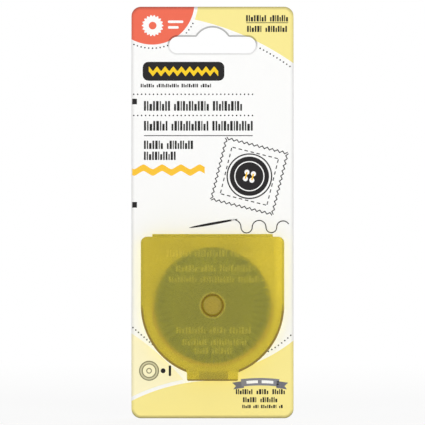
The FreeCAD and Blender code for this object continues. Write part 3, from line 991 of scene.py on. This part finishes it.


# How much of each tint a place takes, in the order in which they're laid on: painted light on the side walls
# and upper right corner, a painted highlight at the rib, painted shade at the seat and latch, a painted
# highlight ring round the dark core, and painted shade along the outer edge
def caseMasks(look, x, y, z):
    wallGlow, latch, core, edge = (caseTints[tint] for tint in ("wallGlow", "latch", "core", "edge"))
    below = hub.z / mm - z
    lower = look.step(below, casePlastic["lowerSharp"])
    fromHub = look.away(x, z, hub.x / mm, hub.z / mm)
    reach = (x**2 + below.atLeast(0.0) ** 2) ** 0.5

    def band(tint, value):
        plan = caseTints[tint]
        return look.band(value, *plan["band"], plan["sharp"]) * plan["share"]

    # Painted light on the side walls, beside the latch and at the upper right corner
    start, end = wallGlow["band"]
    startSharp, endSharp = wallGlow["sharp"]
    atLeft, toRight, lost = wallGlow["share"]
    sides = look.step(reach - start, startSharp) * look.step(end - reach, endSharp)
    sides = sides * (atLeft + x.atLeast(0.0) * toRight * (1 - lower * lost))
    onTab = look.step(latch["top"] - z, latch["topSharp"])
    besideLatchGlow = look.step(x - latch["band"][1], latch["sharp"]) * onTab * wallGlow["besideLatchGlow"]
    cornerStart, cornerLeft, cornerSharp = wallGlow["corner"]
    cornerSlope, cornerMost = wallGlow["cornerShare"]
    corner = ((x - cornerLeft).atLeast(0.0) * cornerSlope).atMost(cornerMost)
    corner = corner * look.step(fromHub - cornerStart, cornerSharp) * (1 - lower)

    besideTab = look.step(abs(x) - edge["tabHalf"], edge["tabSharp"])
    roundEnd = look.step(below, edge["roundSharp"]).atLeast(edge["sideShare"])
    outlineShade = look.step(reach - edge["start"], edge["sharp"]) * besideTab * roundEnd
    tabEnd = look.step(edge["tabEnd"] - z, edge["endSharp"])
    atFront = look.step(lidFront / mm + edge["depth"] - y, edge["depthSharp"])
    return {
        "wallGlow": sides.atLeast(besideLatchGlow).atLeast(corner),
        "ribHighlight": band("ribHighlight", reach) * lower,
        "seatShade": band("seatShade", reach) * lower,
        "latch": band("latch", x) * onTab,
        "haloHighlight": band("haloHighlight", fromHub),
        "core": look.step(core["radius"] - fromHub, core["sharp"]),
        "edge": outlineShade.atLeast(tabEnd) * atFront,
    }


def caseFinish(name, part):
    look = newFinish(name)
    where, x, y, z = look.place()
    grain = look.noise(where, *casePlastic["grain"])
    cloud = look.noise(where, *casePlastic["cloud"])
    masks = caseMasks(look, x, y, z)
    milk = part["milk"]
    for tint, mask in masks.items():
        milk = look.mix(mask, milk, caseTints[tint]["colour"])
    core = caseTints["core"]
    amber = look.mix(masks["core"] * core["amberShare"], casePlastic["amber"], core["colour"])
    shared = {"IOR": casePlastic["index"], "Normal": look.bump(grain, *casePlastic["grainBump"])}
    clear = {
        "Base Color": look.shade(amber, look.vary(cloud, *casePlastic["amberShade"])),
        "Roughness": look.vary(grain, *casePlastic["rough"]),
        "Transmission Weight": 1.0,
        **shared,
    }
    milky = {
        "Base Color": look.shade(milk, look.vary(cloud, *casePlastic["milkShade"])),
        "Roughness": casePlastic["milkRough"],
        **shared,
    }
    # Less clear plastic at the edge and the latch, so that their painted shade shows
    thick = masks["edge"].atLeast(masks["latch"]) * casePlastic["thickShare"]
    share = look.vary(thick, part["share"], 1 - part["share"])
    body = look.add("MixShader", {}, share, look.principled(clear), look.principled(milky))
    toLamp = look.add("LightPath", {}, out="Is Shadow Ray")
    passing = look.add("BsdfTransparent", {}, sockets={"Color": casePlastic["shadow"]})
    return look.close(look.add("MixShader", {}, toLamp, body, passing))


dress(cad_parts["case_lid"], caseFinish("frosted_lid", casePlastic["lid"]))
dress(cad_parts["case_base"], caseFinish("frosted_tray", casePlastic["tray"]))


# Low raised blocks on the lid's face, in rows above and below the eye, laid out as the printed rows are
lidRelief = {
    "thick": 0.14,
    "sink": 0.02,
    "pitch": (0.35, 0.3),
    "space": 0.42,
    "rows": [
        (13.8, 95.3, 2.6, (9.4, 12.6, 9.0)),
        (17.4, 101.1, 2.6, (8.4, 5.6, 12.0)),
        (14.8, 105.5, 2.4, (10.6, 13.2, 8.2)),
        (17.6, 125.2, 2.6, (11.4, 6.2, 8.4)),
        (20.0, 130.0, 2.4, (9.4, 14.0)),
        (24.8, 133.4, 2.4, (5.2, 7.6)),
    ],
}


def makeLidRelief():
    bm = bmesh.new()
    for row in lidRelief["rows"]:
        blockRow(bm, lidRelief, *row)
    layFlat(bm, lidFront, lidRelief["thick"], -lidRelief["sink"])
    finishPiece("lid_relief", bm, caseFinish("frosted_relief", casePlastic["relief"]), "lid")


makeLidRelief()


# Soft pad between the card and the case
foamTape = {
    "colour": paint(232, 231, 226),
    "cells": (4.0, 4.0, 0.7),
    "shade": (0.9, 0.14),
    "rough": 0.86,
    "cellBump": (0.5, 0.0001),
}


def foamFinish():
    look = newFinish("foam_tape")
    cells = look.noise(look.place()[0], *foamTape["cells"])
    sockets = {
        "Base Color": look.shade(foamTape["colour"], look.vary(cells, *foamTape["shade"])),
        "Roughness": foamTape["rough"],
        "Normal": look.bump(cells, *foamTape["cellBump"]),
    }
    return look.close(look.principled(sockets))


dress(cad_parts["adhesive_pad"], foamFinish())
print("case finished")


# Set: pale floor that fades to white, soft lamps, and a level camera. The fade is in millimetres, the rest
# in metres
stageSet = {
    "floorHalf": 3.0,
    "floorColour": paint(245, 245, 244),
    "fadeStart": 150.0,
    "fadeLength": 400.0,
    "nearGlow": 0.87,  # share of white near the part that the camera, metal and glass see
    "underGlow": 0.15,  # the same for all other rays
    "worldLevel": 0.38,
    "cameraBack": 1.5,
    "photoWidth": 0.16647,  # what the photograph spans at the card's face
    "photoMiddle": -0.07246,
    "sensor": 36.0,
    "nearClip": 0.01,
}


def floorFinish():
    look = newFinish("pale_floor")
    _, x, y, _ = look.place()
    fadeStart, fadeLength = stageSet["fadeStart"], stageSet["fadeLength"]
    nearGlow, underGlow = stageSet["nearGlow"], stageSet["underGlow"]
    fade = look.step(look.away(x, y, 0.0, 0.0) - fadeStart - fadeLength / 2, 1 / fadeLength)
    matt = look.add("BsdfDiffuse", {}, sockets={"Color": stageSet["floorColour"]})
    glow = look.add("Emission", {}, sockets={"Color": (1, 1, 1, 1), "Strength": 1.0})
    seenShare = look.vary(fade, nearGlow, 1 - nearGlow)
    share = look.vary(look.seenWhite(), underGlow, seenShare - underGlow)
    return look.close(look.add("MixShader", {}, share, matt, glow))


def makeFloor():
    bm = bmesh.new()
    bmesh.ops.create_grid(bm, x_segments=1, y_segments=1, size=stageSet["floorHalf"])
    bmesh.ops.translate(bm, vec=(0, 0, cadBox[0][2]), verts=bm.verts)
    mesh = bpy.data.meshes.new("floor")
    bm.to_mesh(mesh)
    bm.free()
    floor = bpy.data.objects.new("floor", mesh)
    bpy.context.scene.collection.objects.link(floor)
    dress(floor, floorFinish())


def makeWorld():
    world = bpy.data.worlds.new("white_room")
    bpy.context.scene.world = world
    look = Finish(world, "OutputWorld")
    level = look.vary(look.seenWhite(), stageSet["worldLevel"], 1 - stageSet["worldLevel"])
    look.close(look.add("Background", {}, sockets={"Color": (1, 1, 1, 1), "Strength": level}))


# Square soft lamps that point at the card's middle: place, breadth and power
lamps = {
    "key": ((1.2, -2.4, 0.5), 1.2, 22.0),
    "fill": ((-1.1, -2.4, 0.45), 1.2, 17.9),
    "top": ((0.0, -0.6, 1.4), 1.2, 1.0),
    "rear": ((0.5, 1.3, 0.7), 1.0, 9.5),
}


def makeLamps():
    middle = Vector((0, 0, (cardLow.z + cardHigh.z) / 2))
    for name, (spot, breadth, power) in lamps.items():
        lamp = bpy.data.lights.new(name, "AREA")
        lamp.shape = "SQUARE"
        lamp.size = breadth
        lamp.energy = power
        stand = bpy.data.objects.new(name, lamp)
        stand.location = spot
        stand.rotation_euler = (middle - Vector(spot)).to_track_quat("-Z", "Y").to_euler()
        bpy.context.scene.collection.objects.link(stand)


def makeCamera():
    lens = bpy.data.cameras.new("view")
    lens.sensor_width = stageSet["sensor"]
    lens.lens = stageSet["sensor"] * (stageSet["cameraBack"] + cardFront) / stageSet["photoWidth"]
    lens.clip_start = stageSet["nearClip"]
    stand = bpy.data.objects.new("view", lens)
    stand.location = (0, -stageSet["cameraBack"], stageSet["photoMiddle"])
    stand.rotation_euler = (math.pi / 2, 0, 0)
    bpy.context.scene.collection.objects.link(stand)
    bpy.context.scene.camera = stand


makeFloor()
makeWorld()
makeLamps()
makeCamera()
bpy.context.scene.view_settings.view_transform = "Standard"
print("set ready")
